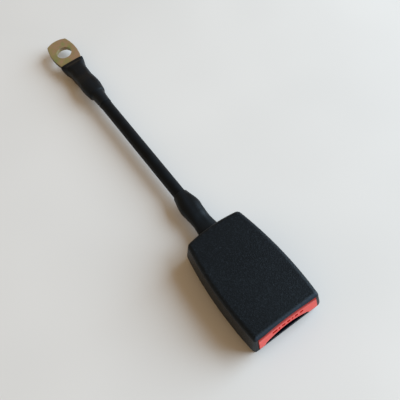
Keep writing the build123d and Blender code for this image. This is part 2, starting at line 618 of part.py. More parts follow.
# ---- Ejector and its spring ----
def ejector():
    """Moulded slide: fork around the nose, guide lugs, hump and spigot for its spring."""
    half = FRAME_INNER / 2 - RUN_GAP
    low = FRAME_TOP_OF_BASE + RUN_GAP
    front, rear = EJECTOR_FRONT_Y, EJECTOR_FRONT_Y + EJECTOR_LENGTH
    slide = block(-half, half, front, rear, low, low + EJECTOR_H)
    fork_half = NOSE_HALF + 4 * RUN_GAP
    slide -= block(-fork_half, fork_half, front - 1, front + EJECTOR_FORK, low - 1, low + EJECTOR_H + 1)
    front_edges = slide.edges().filter_by(Axis.Z).group_by(Axis.Y)[0]
    slide = fillet(front_edges, 1.2)
    slide += block(-HUMP_HALF, HUMP_HALF, front + EJECTOR_FORK, rear, low, HUMP_TOP_Z)
    spring_z = low + EJECTOR_SPRING_R + SEAM_GAP
    slide += rod_along_y(0, spring_z, rear - 1, rear + SPIGOT_LENGTH, SPIGOT_R)
    lug_low = low + 0.4
    lug_out = FRAME_INNER / 2 + FRAME_T - RUN_GAP
    lug_y = (GUIDE_LUG_FRONT_Y, GUIDE_LUG_FRONT_Y + GUIDE_LUG_LENGTH)
    lug = block(half - 1, lug_out, *lug_y, lug_low, lug_low + GUIDE_LUG_H)
    return slide + both_sides(lug)


def ejector_spring():
    """Coil spring from the ejector's spigot to the frame's tab."""
    start = EJECTOR_FRONT_Y + EJECTOR_LENGTH + ROPE_GAP
    length = SPRING_TAB_Y - ROPE_GAP - start
    spring_z = FRAME_TOP_OF_BASE + RUN_GAP + EJECTOR_SPRING_R + SEAM_GAP
    spring = coil(EJECTOR_SPRING_R, EJECTOR_SPRING_WIRE, length, EJECTOR_SPRING_TURNS)
    return Pos(0, start + length, spring_z) * Rot(90, 0, 0) * spring


# ---- Wire rope stalk, in the part's frame ----
STALK_Z = HEAD_ROPE_Z - SEAT_HEIGHT
ANCHOR_EYE_Z = TAIL_RELIEF - ROPE_GAP - ROPE_R
HEAD_EYE_Y = HEAD_RIVET_Y - HOLE_TO_MOUTH
HEAD_FERRULE = HEAD_FERRULE_Y - HOLE_TO_MOUTH
SHEATH_START = HEAD_FERRULE + FERRULE_LENGTH + SHEATH_GAP
SHEATH_END = ANCHOR_FERRULE_Y - SHEATH_GAP
ANCHOR_FERRULE_NEAR = ANCHOR_FERRULE_Y + FERRULE_LENGTH


def anchor_leg(side, end_y):
    """Corners of a rope leg from end_y, in or before the anchor's ferrule, to the anchor's eye."""
    return [
        Vector(side * LEG_X, end_y, STALK_Z),
        Vector(side * LEG_X, ANCHOR_FERRULE_NEAR + LEG_LEAD, STALK_Z),
        Vector(side * EYE_R, ANCHOR_RIVET_Y - ANCHOR_LEG_LENGTH, ANCHOR_EYE_Z),
        Vector(side * EYE_R, ANCHOR_RIVET_Y, ANCHOR_EYE_Z),
    ]


def head_leg(side, end_y):
    """Corners of a rope leg from the head's eye to end_y, in or past the head's ferrule."""
    return [
        Vector(side * EYE_R, HEAD_EYE_Y, STALK_Z),
        Vector(side * EYE_R, HEAD_EYE_Y + HEAD_LEG_LENGTH, STALK_Z),
        Vector(side * LEG_X, HEAD_FERRULE - LEG_LEAD, STALK_Z),
        Vector(side * LEG_X, end_y, STALK_Z),
    ]


def eye(y, z, away, side):
    """Half turn of the rope round a bush, starting on the given side, bulging towards away."""
    start = Vector(side * EYE_R, y, z)
    return ThreePointArc(start, Vector(0, y + away * EYE_R, z), Vector(-side * EYE_R, y, z))


def wire_rope():
    """One loop of steel rope round both bushes, its two ends meeting inside the anchor's ferrule."""
    butt_y = ANCHOR_FERRULE_Y + FERRULE_LENGTH / 2
    tail = FilletPolyline(*anchor_leg(-1, butt_y + ROPE_BUTT_GAP / 2), radius=LEG_BEND_R)
    anchor_turn = eye(ANCHOR_RIVET_Y, ANCHOR_EYE_Z, 1, -1)
    down = FilletPolyline(*anchor_leg(1, SHEATH_END)[::-1], radius=LEG_BEND_R)
    across = FilletPolyline(*head_leg(1, SHEATH_END)[::-1], radius=LEG_BEND_R)
    head_turn = eye(HEAD_EYE_Y, STALK_Z, -1, 1)
    back = FilletPolyline(*head_leg(-1, butt_y - ROPE_BUTT_GAP / 2), radius=LEG_BEND_R)
    edges = []
    for run in (tail, anchor_turn, down, across, head_turn, back):
        edges += run.edges()
    path = Wire(edges)
    start = Plane(origin=path @ 0, z_dir=path % 0)
    return sweep(start * Circle(ROPE_R), path=path)


def cable_sheath():
    """Plastic tube over both rope legs, between the two ferrules."""
    bore_r = LEG_X + ROPE_R + ROPE_GAP
    tube = rod_along_y(0, STALK_Z, SHEATH_START, SHEATH_END, SHEATH_D / 2)
    return tube - rod_along_y(0, STALK_Z, SHEATH_START - 1, SHEATH_END + 1, bore_r)


def ferrule(y0):
    """Pressed oval ferrule around two rope legs."""
    plane = Plane(origin=(0, y0, STALK_Z), x_dir=(1, 0, 0), z_dir=(0, 1, 0))
    corner = FERRULE_HEIGHT / 2 - 0.2
    body = extrude(plane * RectangleRounded(FERRULE_WIDTH, FERRULE_HEIGHT, corner), amount=FERRULE_LENGTH)
    body = chamfer(body.faces().filter_by(Axis.Y).edges(), FERRULE_CHAMFER)
    bore = rod_along_y(LEG_X, STALK_Z, y0 - 1, y0 + FERRULE_LENGTH + 1, ROPE_R + RIVET_CLEARANCE)
    return body - both_sides(bore)


def cable_bush(z_low, z_high):
    """Bush inside a rope eye, bored for the rivet, standing between the plate and the keeper."""
    bush = rod(0, 0, z_low, z_high, BUSH_R)
    return bush - rod(0, 0, z_low - 1, z_high + 1, RIVET_R + RIVET_CLEARANCE)


def rivet(z_low, z_high):
    """Solid rivet, with a domed head at each end beyond z_low and z_high."""
    shank = rod(0, 0, z_low, z_high, RIVET_R)
    upper = rod(0, 0, z_high, z_high + RIVET_HEAD_H, RIVET_HEAD_R)
    rim = upper.edges().filter_by(GeomType.CIRCLE).sort_by(Axis.Z)[-1]
    upper = fillet(rim, RIVET_HEAD_ROUND)
    lower = mirror(upper, about=Plane.XY.offset((z_low + z_high) / 2))
    return shank + upper + lower


def keeper(z_low):
    """Washer that closes a rope eye, against the plate."""
    disc = rod(0, 0, z_low, z_low + KEEPER_T, KEEPER_R)
    return disc - rod(0, 0, z_low - 1, z_low + KEEPER_T + 1, RIVET_R + RIVET_CLEARANCE)


def section(y, width, z_low, z_high, corner):
    """One cross-section of a sleeve, square to Y."""
    plane = Plane(origin=(0, y, (z_low + z_high) / 2), x_dir=(1, 0, 0), z_dir=(0, 1, 0))
    return plane * RectangleRounded(width, z_high - z_low, corner)


def sleeve(stations, wall):
    """Heat shrink sleeve over the given inside stations (y, width, z_low, z_high, corner)."""
    inside = [section(*station) for station in stations]
    outside = [
        section(y, width + 2 * wall, low - wall, high + wall, corner + wall * 0.9)
        for y, width, low, high, corner in stations
    ]
    return loft(outside, ruled=True) - loft(inside, ruled=True)


def flat_station(y, width, height):
    """Inside station on the stalk's axis."""
    return (y, width, STALK_Z - height / 2, STALK_Z + height / 2, height / 2 - 0.1)


def sheath_station(y):
    """Inside station round the sheath."""
    size = SHEATH_D + 2 * SHRINK_GAP
    return flat_station(y, size + 0.2, size)


def ferrule_station(y):
    """Inside station round a ferrule, and high enough for the sheath next to it."""
    height = max(FERRULE_HEIGHT, SHEATH_D) + 2 * SHRINK_GAP
    return flat_station(y, FERRULE_WIDTH + 2 * SHRINK_GAP, height)


def head_sleeve():
    """Sleeve from inside the covers, over the rope legs and the ferrule, on to the sheath."""
    start, waist = HEAD_SLEEVE_START_Y, SIDE_LENGTH + SLEEVE_WAIST_Y
    far = HEAD_FERRULE + FERRULE_LENGTH
    start_width = 2 * (head_leg_x(start) + ROPE_R + SHRINK_GAP)
    stations = [
        flat_station(start - HOLE_TO_MOUTH, start_width, ROPE_D + 2 * SHRINK_GAP),
        flat_station(waist - HOLE_TO_MOUTH, SLEEVE_WAIST_WIDTH, SLEEVE_WAIST_HEIGHT),
        ferrule_station(HEAD_FERRULE - SHRINK_GAP),
        ferrule_station(far),
        sheath_station(far + SLEEVE_TAPER),
        sheath_station(far + SLEEVE_TAPER + SLEEVE_OVERLAP),
    ]
    return sleeve(stations, HEAD_SLEEVE_WALL)


def anchor_sleeve():
    """Sleeve over the plate's tail, the rope eye riveted under it and the ferrule."""
    g = SHRINK_GAP
    eye_half = EYE_R + ROPE_R + g
    rope_low = ANCHOR_EYE_Z - ROPE_R - g
    keeper_low = TAIL_RELIEF - EYE_HEIGHT - KEEPER_T - g
    rivet_low = keeper_low - RIVET_HEAD_H
    plate_high = PLATE_T + g
    rivet_high = plate_high + RIVET_HEAD_H
    rivet_y = ANCHOR_RIVET_Y
    plate_end = rivet_y - PLATE_TAIL_HALF - 0.6
    near, far = ANCHOR_FERRULE_NEAR, ANCHOR_FERRULE_Y
    mouth_half = plate_half_at(SLEEVE_MOUTH_Y) + g
    stations = [
        (SLEEVE_MOUTH_Y, 2 * mouth_half, TAIL_RELIEF - g, plate_high, SEAM_GAP),
        (SLEEVE_SHOULDER_Y, 2 * SLEEVE_SHOULDER_HALF, rope_low, plate_high, 0.8),
        (rivet_y + KEEPER_R - 0.4, 2 * eye_half, keeper_low, plate_high, 1.2),
        (rivet_y + RIVET_HEAD_R + 0.2, 2 * eye_half, rivet_low, rivet_high, 1.2),
        (rivet_y - RIVET_HEAD_R - 0.2, 2 * eye_half, rivet_low, rivet_high, 1.2),
        (plate_end, 2 * eye_half, keeper_low, plate_high, 1.6),
        ferrule_station(near + SHRINK_GAP),
        ferrule_station(far),
        ferrule_station(far - ANCHOR_SLEEVE_STEP),
    ]
    return sleeve(stations[::-1], ANCHOR_SLEEVE_WALL)


# ---- Anchor plate ----
def plate_half_at(y):
    """Half width of the barrel shaped plate at y."""
    return PLATE_HALF - PLATE_SIDE_R + math.sqrt(PLATE_SIDE_R**2 - y**2)


def anchor_plate():
    """Zinc plated steel plate: tip struck from the bolt hole, bowed sides, narrow riveted tail."""
    centre_x = PLATE_HALF - PLATE_SIDE_R
    bowed = Circle(PLATE_SIDE_R)
    plan = Pos(centre_x, 0, 0) * bowed & Pos(-centre_x, 0, 0) * bowed & Circle(4 * PLATE_TIP_R)
    tip = Circle(PLATE_TIP_R) + Pos(0, -PLATE_TIP_R, 0) * Rectangle(4 * PLATE_TIP_R, 2 * PLATE_TIP_R)
    stem_length = SLEEVE_MOUTH_Y - ANCHOR_RIVET_Y
    stem = Pos(0, ANCHOR_RIVET_Y + stem_length / 2, 0) * Rectangle(2 * PLATE_TAIL_HALF, stem_length)
    back = 2 * PLATE_SIDE_R
    plan = (plan & tip) - Pos(0, BARREL_END_Y - back, 0) * Rectangle(2 * back, 2 * back)
    plan = plan + stem + Pos(0, ANCHOR_RIVET_Y, 0) * Circle(PLATE_TAIL_HALF)
    plate = extrude(plan, amount=PLATE_T)
    rims = plate.faces().filter_by(Axis.Z).edges()
    plate = fillet(rims, PLATE_EDGE_R)
    relief = TAIL_RELIEF_Y - back
    plate -= block(-back, back, relief, TAIL_RELIEF_Y, -1, TAIL_RELIEF)
    plate -= rod(0, 0, -1, PLATE_T + 1, BOLT_HOLE_R)
    plate -= rod(0, ANCHOR_RIVET_Y, -1, PLATE_T + 1, RIVET_R + RIVET_CLEARANCE)
    return plate


write("upper_cover", HEAD * upper_cover())
write("lower_cover", HEAD * lower_cover())
write("cover_screws", HEAD * cover_screws())
write("release_button", HEAD * release_button())
write("button_springs", HEAD * button_springs())
write("frame", HEAD * frame())
write("latch", HEAD * latch())
write("latch_pin", HEAD * latch_pin())
write("latch_spring", HEAD * latch_spring())
write("ejector", HEAD * ejector())
write("ejector_spring", HEAD * ejector_spring())
write("wire_rope", wire_rope())
write("cable_sheath", cable_sheath())
write("head_ferrule", ferrule(HEAD_FERRULE))
write("anchor_ferrule", ferrule(ANCHOR_FERRULE_Y))

head_stack = HEAD * Pos(0, HEAD_RIVET_Y, TAIL_TOP_Z)
write("head_bush", head_stack * cable_bush(0, EYE_HEIGHT))
write("head_keeper", head_stack * keeper(EYE_HEIGHT))
write("head_rivet", head_stack * rivet(-FRAME_T, EYE_HEIGHT + KEEPER_T))

anchor_stack = Pos(0, ANCHOR_RIVET_Y, TAIL_RELIEF)
write("anchor_bush", anchor_stack * cable_bush(-EYE_HEIGHT, 0))
write("anchor_keeper", anchor_stack * keeper(-EYE_HEIGHT - KEEPER_T))
write("anchor_rivet", anchor_stack * rivet(-EYE_HEIGHT - KEEPER_T, PLATE_T - TAIL_RELIEF))

write("head_sleeve", head_sleeve())
write("anchor_sleeve", anchor_sleeve())
write("anchor_plate", anchor_plate())
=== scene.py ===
import math

import bpy
import numpy as np
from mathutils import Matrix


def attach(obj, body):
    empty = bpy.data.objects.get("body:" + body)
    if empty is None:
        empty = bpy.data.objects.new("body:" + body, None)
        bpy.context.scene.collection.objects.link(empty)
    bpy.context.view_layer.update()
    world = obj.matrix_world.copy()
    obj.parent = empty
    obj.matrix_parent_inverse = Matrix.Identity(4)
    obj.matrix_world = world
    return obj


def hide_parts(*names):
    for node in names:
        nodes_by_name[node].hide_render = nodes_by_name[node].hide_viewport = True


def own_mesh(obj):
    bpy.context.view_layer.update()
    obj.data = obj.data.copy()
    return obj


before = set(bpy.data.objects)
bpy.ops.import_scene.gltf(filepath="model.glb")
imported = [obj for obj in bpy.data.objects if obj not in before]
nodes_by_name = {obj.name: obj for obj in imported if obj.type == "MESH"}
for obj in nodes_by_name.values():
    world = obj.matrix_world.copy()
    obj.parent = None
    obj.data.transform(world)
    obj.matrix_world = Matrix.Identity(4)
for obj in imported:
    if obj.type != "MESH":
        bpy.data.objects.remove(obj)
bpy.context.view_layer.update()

MM = 0.001


# ---- Camera ----
# A short telephoto view from above the mouth's left side, tilted a little: the stalk runs to
# the upper left corner and the red button faces the lower right.
CAMERA_PLACE = (-0.06669, -0.31939, 0.30752)
CAMERA_TURN = (28.74, 5.30, -35.41)  # degrees about X, Y and Z
CAMERA_LENS = 50.44
SENSOR_WIDTH = 36

camera = bpy.data.objects.new("camera", bpy.data.cameras.new("camera"))
camera.data.lens = CAMERA_LENS
camera.data.sensor_width = SENSOR_WIDTH
camera.location = CAMERA_PLACE
camera.rotation_euler = [math.radians(angle) for angle in CAMERA_TURN]
bpy.context.collection.objects.link(camera)
bpy.context.scene.camera = camera
bpy.context.scene.view_settings.view_transform = "Standard"


# ---- Table and light ----
# The buckle lies on a pale matt table. One wide low window lights it from the right, a little in
# front of the mouth, and the room's warm walls fill in from all round.
TABLE_Z = -7.0 * MM
TABLE_HALF = 1.6
TABLE_COLOUR = (0.64, 0.645, 0.64)
TABLE_CLOUD = 0.03  # how far the board's lightness drifts either way
KEY_TOWARDS = np.array([0.798, -0.331, 0.504])  # from the buckle to the window light
KEY_DISTANCE = 2.2
KEY_SIZE = 2.15
KEY_POWER = 113.0
KEY_COLOUR = (0.70, 0.86, 1.0)
FILL = (0.47, 0.33, 0.20)  # light of the room's walls and ceiling
BUCKLE_MIDDLE = np.array([0.0, -0.13, 0.0])


def new_material(name, colour, roughness, metallic=0.0, specular=None):
    """A material and its tree's nodes, links and main shader."""
    material = bpy.data.materials.new(name)
    material.use_nodes = True
    nodes, links = material.node_tree.nodes, material.node_tree.links
    shader = nodes["Principled BSDF"]
    shader.inputs["Base Color"].default_value = (*colour, 1)
    shader.inputs["Roughness"].default_value = roughness
    shader.inputs["Metallic"].default_value = metallic
    if specular is not None:
        shader.inputs["Specular IOR Level"].default_value = specular
    return material, nodes, links, shader


def noise(nodes, links, scale, detail=3.0, roughness=0.55, stretch=(1, 1, 1)):
    """Noise in the piece's own coordinates, in cycles per metre; returns its factor socket."""
    place = nodes.new("ShaderNodeTexCoord")
    mapping = nodes.new("ShaderNodeMapping")
    mapping.inputs["Scale"].default_value = stretch
    texture = nodes.new("ShaderNodeTexNoise")
    texture.inputs["Scale"].default_value = scale
    texture.inputs["Detail"].default_value = detail
    texture.inputs["Roughness"].default_value = roughness
    links.new(place.outputs["Object"], mapping.inputs["Vector"])
    links.new(mapping.outputs["Vector"], texture.inputs["Vector"])
    return texture.outputs["Fac"]


def ramp(nodes, links, factor, stops):
    """Colour ramp on a factor; stops are (position, colour)."""
    node = nodes.new("ShaderNodeValToRGB")
    band = node.color_ramp
    while len(band.elements) < len(stops):
        band.elements.new(0.5)
    for element, (position, colour) in zip(band.elements, stops):
        element.position = position
        element.color = (*colour, 1)
    links.new(factor, node.inputs["Fac"])
    return node.outputs["Color"]


def table_material():
    """Smooth painted board with a very faint cloudiness."""
    material, nodes, links, shader = new_material("table_board", TABLE_COLOUR, 0.6, specular=0.25)
    cloud = noise(nodes, links, scale=6.0, detail=2.0)
    light = tuple((1 + TABLE_CLOUD) * part for part in TABLE_COLOUR)
    dark = tuple((1 - TABLE_CLOUD) * part for part in TABLE_COLOUR)
    links.new(ramp(nodes, links, cloud, [(0.35, dark), (0.65, light)]), shader.inputs["Base Color"])
    return material


table_mesh = bpy.data.meshes.new("table")
table_corners = [(-1, -1), (1, -1), (1, 1), (-1, 1)]
table_points = [(x * TABLE_HALF, y * TABLE_HALF, TABLE_Z) for x, y in table_corners]
table_mesh.from_pydata(table_points, [], [(0, 1, 2, 3)])
table_mesh.materials.append(table_material())
table = bpy.data.objects.new("table", table_mesh)
bpy.context.collection.objects.link(table)

key_data = bpy.data.lights.new("window_light", "AREA")
key_data.shape = "SQUARE"
key_data.size = KEY_SIZE
key_data.energy = KEY_POWER
key_data.color = KEY_COLOUR
key = bpy.data.objects.new("window_light", key_data)
key_towards = KEY_TOWARDS / np.linalg.norm(KEY_TOWARDS)
key.location = BUCKLE_MIDDLE + KEY_DISTANCE * key_towards
key.rotation_euler = (0, math.acos(key_towards[2]), math.atan2(key_towards[1], key_towards[0]))
bpy.context.collection.objects.link(key)

world = bpy.data.worlds.new("room")
world.use_nodes = True
world.node_tree.nodes["Background"].inputs["Color"].default_value = (*FILL, 1)
bpy.context.scene.world = world


# ---- Covers ----
# Two moulded shells of black polypropylene, spark-eroded to a fine leathery grain, that meet in
# a lap joint at mid height and are held together by two screws from below.
COVER_COLOUR = (0.0010, 0.0030, 0.0058)
COVER_GLOSS = (0.80, 0.94, 1.0)  # tint of the reflections on black plastic
COVER_SPECK = (0.0100, 0.0150, 0.0220)
COVER_GRAIN = 1150.0  # cycles per metre
COVER_GRAIN_DEPTH = 0.17 * MM
# Painted light: where the covers face the mouth their colour is lightened. This is a painted highlight
# on the upper cover's front roundover and painted light on the lower cover's lip.
ROOF_PAINTED_HIGHLIGHT = (0.015, 0.023, 0.036)
LIP_PAINTED_LIGHT = (0.050, 0.050, 0.058)
PAINTED_LIGHT_FRONT = (-0.08, -0.45)  # the normal's Y at which the painted light starts and is full
ROOF_HIGHLIGHT_RISE = (0.35, 0.65)  # the same for its Z on the upper cover, and on the lower one
LIP_LIGHT_RISE = (-0.6, -0.3)


def wear(node_name, material):
    """Give a frame node one material."""
    data = nodes_by_name[node_name].data
    data.materials.clear()
    data.materials.append(material)
    data.polygons.foreach_set("material_index", np.zeros(len(data.polygons), dtype=np.int32))


def spread(nodes, links, factor, low, high, socket):
    """Map a noise factor's middle range to low..high on a shader socket."""
    node = nodes.new("ShaderNodeMapRange")
    node.inputs["From Min"].default_value = 0.3
    node.inputs["From Max"].default_value = 0.7
    node.inputs["To Min"].default_value = low
    node.inputs["To Max"].default_value = high
    links.new(factor, node.inputs["Value"])
    links.new(node.outputs["Result"], socket)


def bump(nodes, links, shader, heights):
    """Chain of bumps on the shader's normal; heights are (factor socket, height in metres)."""
    last = None
    for factor, height in heights:
        node = nodes.new("ShaderNodeBump")
        node.inputs["Strength"].default_value = 1.0
        node.inputs["Distance"].default_value = height
        links.new(factor, node.inputs["Height"])
        if last is not None:
            links.new(last, node.inputs["Normal"])
        last = node.outputs["Normal"]
    links.new(last, shader.inputs["Normal"])


def slope(nodes, links, value, start, full):
    """0 to 1 as a value goes from start to full."""
    node = nodes.new("ShaderNodeMapRange")
    node.inputs["From Min"].default_value = start
    node.inputs["From Max"].default_value = full
    links.new(value, node.inputs["Value"])
    return node.outputs["Result"]


def axes(nodes, links, source):
    """X, Y and Z outputs of the surface's normal or of its place in the piece's coordinates."""
    node = nodes.new("ShaderNodeSeparateXYZ")
    if source == "normal":
        vector = nodes.new("ShaderNodeNewGeometry").outputs["Normal"]
    else:
        vector = nodes.new("ShaderNodeTexCoord").outputs["Object"]
    links.new(vector, node.inputs["Vector"])
    return node.outputs


def combine(nodes, links, operation, *values):
    """One arithmetic step on sockets or numbers; returns its value socket."""
    node = nodes.new("ShaderNodeMath")
    node.operation = operation
    for socket, value in zip(node.inputs, values):
        if isinstance(value, float):
            socket.default_value = value
        else:
            links.new(value, socket)
    return node.outputs["Value"]


def blend(nodes, links, factor, first, second):
    """Colour that turns from the first to the second; each is a colour or a colour socket."""
    node = nodes.new("ShaderNodeMix")
    node.data_type = "RGBA"
    links.new(factor, node.inputs["Factor"])
    for name, colour in (("A", first), ("B", second)):
        if isinstance(colour, tuple):
            node.inputs[name].default_value = (*colour, 1)
        else:
            links.new(colour, node.inputs[name])
    return node.outputs["Result"]


def cover_material(name, roughness, specular, speck, painted_light_colour, painted_light_rise):
    """Dark plastic: cell-like grain, light specks on its peaks, uneven gloss.

    Where it turns towards the mouth, and up as far as its given range, its colour is lightened: painted
    light standing in for the light that falls on and reflects from these faces.
    """
    material, nodes, links, shader = new_material(name, COVER_COLOUR, roughness, specular=specular)
    shader.inputs["Specular Tint"].default_value = (*COVER_GLOSS, 1)
    grain = noise(nodes, links, COVER_GRAIN, detail=4.0, roughness=0.65)
    broad = noise(nodes, links, scale=45.0, detail=2.0)
    fine = noise(nodes, links, 3.2 * COVER_GRAIN, detail=2.0)
    colour = ramp(nodes, links, grain, [(0.50, COVER_COLOUR), (0.74, speck)])
    normal = axes(nodes, links, "normal")
    # Painted light: the colour is lightened by which way the surface faces.
    frontward = slope(nodes, links, normal["Y"], *PAINTED_LIGHT_FRONT)
    upward = slope(nodes, links, normal["Z"], *painted_light_rise)
    painted_light_mask = combine(nodes, links, "MULTIPLY", frontward, upward)
    links.new(blend(nodes, links, painted_light_mask, colour, painted_light_colour), shader.inputs["Base Color"])
    spread(nodes, links, broad, roughness - 0.04, roughness + 0.05, shader.inputs["Roughness"])
    bump(nodes, links, shader, [(grain, COVER_GRAIN_DEPTH), (fine, 0.3 * COVER_GRAIN_DEPTH)])
    return material


roof_plastic = cover_material("cover_plastic", 0.44, 0.20, COVER_SPECK, ROOF_PAINTED_HIGHLIGHT, ROOF_HIGHLIGHT_RISE)
# Painted shade: the lower cover gets a shaded copy of the same plastic, rougher and without gloss or
# light specks, so that it looks darker.
shaded_low_plastic = cover_material("cover_plastic_shaded_copy", 0.72, 0.0, COVER_COLOUR, LIP_PAINTED_LIGHT, LIP_LIGHT_RISE)
wear("upper_cover", roof_plastic)
wear("lower_cover", shaded_low_plastic)


# ---- Release button ----
# A red acetal moulding that fills the mouth above the slot. A front plate with a rounded arch
# lies over the solid one; it has a band of painted shade under the roof and a row of short dark dashes.
BUTTON_COLOUR = (0.68, 0.062, 0.050)
BUTTON_SHADE_COLOUR = (0.32, 0.012, 0.010)
BUTTON_MARK_COLOUR = (0.30, 0.003, 0.002)
BUTTON_SHADE_Z = 11.0 * MM  # lower edge of the band of painted shade
BUTTON_SHADE_FADE = 0.15 * MM
BUTTON_FOOT_Y, BUTTON_TOP_Y = -261.1 * MM, -259.3 * MM
BUTTON_FOOT_Z, BUTTON_TOP_Z = 3.0 * MM, 12.9 * MM
BUTTON_FOOT_HALF, BUTTON_TOP_HALF = 20.0 * MM, 19.5 * MM
BUTTON_HOLLOW = 0.8 * MM
BUTTON_BEVEL = 0.8 * MM
CAP_LIFT = 0.04 * MM  # how far the front plate stands over the solid button
CAP_DEPTH = 2.96 * MM
CAP_NOSE = 0.35 * MM  # radius of the front plate's lower edge
CAP_PLACES, SPLAY_PLACES = 61, 7  # across the plate, and in each end of the arch
CAP_FACE_STEPS, CAP_NOSE_STEPS = 8, 5
CAP_SHARP = math.radians(28)  # edges that turn by more than this stay crisp
ARCH_MIDDLE = -1.2 * MM
ARCH_HALF = 14.2 * MM
ARCH_FOOT = 1.6 * MM  # height of the arc's ends over the plate's foot
ARCH_RISE = 4.25 * MM
ARCH_SPLAY = 1.1 * MM
MARK_HEIGHT = 1.25 * MM
MARK_Z = 9.25 * MM
MARK_LIFT = 0.07 * MM
MARK_STEPS = 5
MARK_SPANS = (
    (-10.4, -7.1),
    (-6.2, -5.2),
    (-3.8, -1.7),
    (-0.3, 1.7),
    (2.8, 3.8),
    (5.0, 7.0),
    (8.5, 10.6),
)


def button_material():
    """Red plastic, darker in the band along its top: painted shade under the roof's edge."""
    material, nodes, links, shader = new_material("button_plastic", BUTTON_COLOUR, 0.36)
    shader.inputs["Subsurface Weight"].default_value = 0.06
    shader.inputs["Subsurface Radius"].default_value = (0.002, 0.0006, 0.0004)
    mottle = noise(nodes, links, scale=900.0, detail=3.0)
    height = axes(nodes, links, "place")["Z"]
    # Painted shade: the colour is darkened above this height, where the roof's edge shades the button.
    band = slope(nodes, links, height, BUTTON_SHADE_Z, BUTTON_SHADE_Z + BUTTON_SHADE_FADE)
    links.new(blend(nodes, links, band, BUTTON_COLOUR, BUTTON_SHADE_COLOUR), shader.inputs["Base Color"])
    spread(nodes, links, mottle, 0.30, 0.42, shader.inputs["Roughness"])
    bump(nodes, links, shader, [(mottle, 0.02 * MM)])
    return material


def button_face(x, z, lift):
    """Point at a small height over the raked, hollowed face.

    The face is straight from its foot to its top edge; its foot is nearly straight across and
    its top edge is an arc that is BUTTON_HOLLOW deeper in the middle than at its ends.
    """
    up = (z - BUTTON_FOOT_Z) / (BUTTON_TOP_Z - BUTTON_FOOT_Z)
    arc = BUTTON_HOLLOW * (1 - (x / BUTTON_TOP_HALF) ** 2)
    y = BUTTON_FOOT_Y + up * (BUTTON_TOP_Y + arc - BUTTON_FOOT_Y)
    return np.stack([x, y - lift, z], axis=-1)


def arch_height(x):
    """Lower edge of the front plate over a place across.

    A circle's arc spans 2 ARCH_HALF; below its ends the edge splays straight out to the foot.
    """
    arc_rise = ARCH_RISE - ARCH_FOOT
    radius = (ARCH_HALF**2 + arc_rise**2) / (2 * arc_rise)
    away = np.abs(x - ARCH_MIDDLE)
    arc = ARCH_RISE - radius + np.sqrt(radius**2 - np.minimum(away, ARCH_HALF) ** 2)
    splay = ARCH_FOOT * np.clip((away - ARCH_HALF) / ARCH_SPLAY, 0, 1)
    return BUTTON_FOOT_Z - CAP_LIFT + arc - splay


def cap_points():
    """Front plate as closed loops, one for each place across.

    A loop runs forward along the underside, round the nose, up the face, over the bevel and back
    along the top. Its places across lie closer at the arch's ends, and narrow towards the top
    from BUTTON_FOOT_HALF to BUTTON_TOP_HALF.
    """
    ends = [ARCH_MIDDLE + side * ARCH_HALF for side in (-1, 1)]
    across = [np.linspace(-BUTTON_FOOT_HALF, BUTTON_FOOT_HALF, CAP_PLACES)]
    across += [end + side * np.linspace(0, ARCH_SPLAY, SPLAY_PLACES) for side, end in zip((-1, 1), ends)]
    across = np.sort(np.concatenate(across))[:, None]
    low, top = arch_height(across), BUTTON_TOP_Z + CAP_LIFT
    turn = np.linspace(0, math.pi / 2, CAP_NOSE_STEPS + 1)
    face = np.linspace(0, 1, CAP_FACE_STEPS + 1)[1:]
    bevel_z = BUTTON_TOP_Z - BUTTON_BEVEL
    nose = CAP_NOSE * (1 - np.sin(turn))
    depth = [CAP_DEPTH, CAP_DEPTH / 2, *nose, *(0 * face), BUTTON_BEVEL, CAP_DEPTH]
    flat = np.zeros_like(low)
    z = [low, low, *(low + CAP_NOSE * (1 - math.cos(a)) for a in turn)]
    z += [low + CAP_NOSE + step * (bevel_z - low - CAP_NOSE) for step in face]
    z += [flat + top, flat + top]
    z = np.concatenate(z, axis=1)
    narrow = (z - BUTTON_FOOT_Z) / (BUTTON_TOP_Z - BUTTON_FOOT_Z)
    half = BUTTON_FOOT_HALF + narrow * (BUTTON_TOP_HALF - BUTTON_FOOT_HALF) + CAP_LIFT
    x = across / BUTTON_FOOT_HALF * half
    points = button_face(x, z, CAP_LIFT)
    points[..., 1] += np.array(depth)
    return points


def grid_faces(rows, columns, wrap_rows=False, wrap_columns=False):
    """Quads of a grid of points, joined round where it is closed."""
    row = np.arange(rows if wrap_rows else rows - 1)
    column = np.arange(columns if wrap_columns else columns - 1)
    r, c = np.meshgrid(row, column, indexing="ij")
    r_next, c_next = (r + 1) % rows, (c + 1) % columns
    quads = [r * columns + c, r_next * columns + c, r_next * columns + c_next, r * columns + c_next]
    return np.stack(quads, axis=-1).reshape(-1, 4)


def make_piece(name, points, faces, material, body, replaced=()):
    """One smooth mesh object from arrays of points and faces, riding on a body."""
    data = bpy.data.meshes.new(name)
    data.from_pydata(np.asarray(points).reshape(-1, 3).tolist(), [], [list(face) for face in faces])
    data.polygons.foreach_set("use_smooth", np.ones(len(data.polygons), dtype=bool))
    data.materials.append(material)
    data.update()
    piece = bpy.data.objects.new(name, data)
    bpy.context.collection.objects.link(piece)
    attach(piece, body)
    if replaced:
        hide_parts(*replaced)
    return piece


button_plastic = button_material()
wear("release_button", button_plastic)

cap = cap_points()
loops, around = cap.shape[:2]
cap_faces = grid_faces(loops, around, wrap_columns=True).tolist()
cap_faces += [list(range(around)), list(range((loops - 1) * around, loops * around))[::-1]]
button_cap = make_piece("button_cap", cap, cap_faces, button_plastic, "button")
button_cap.data.set_sharp_from_angle(angle=CAP_SHARP)

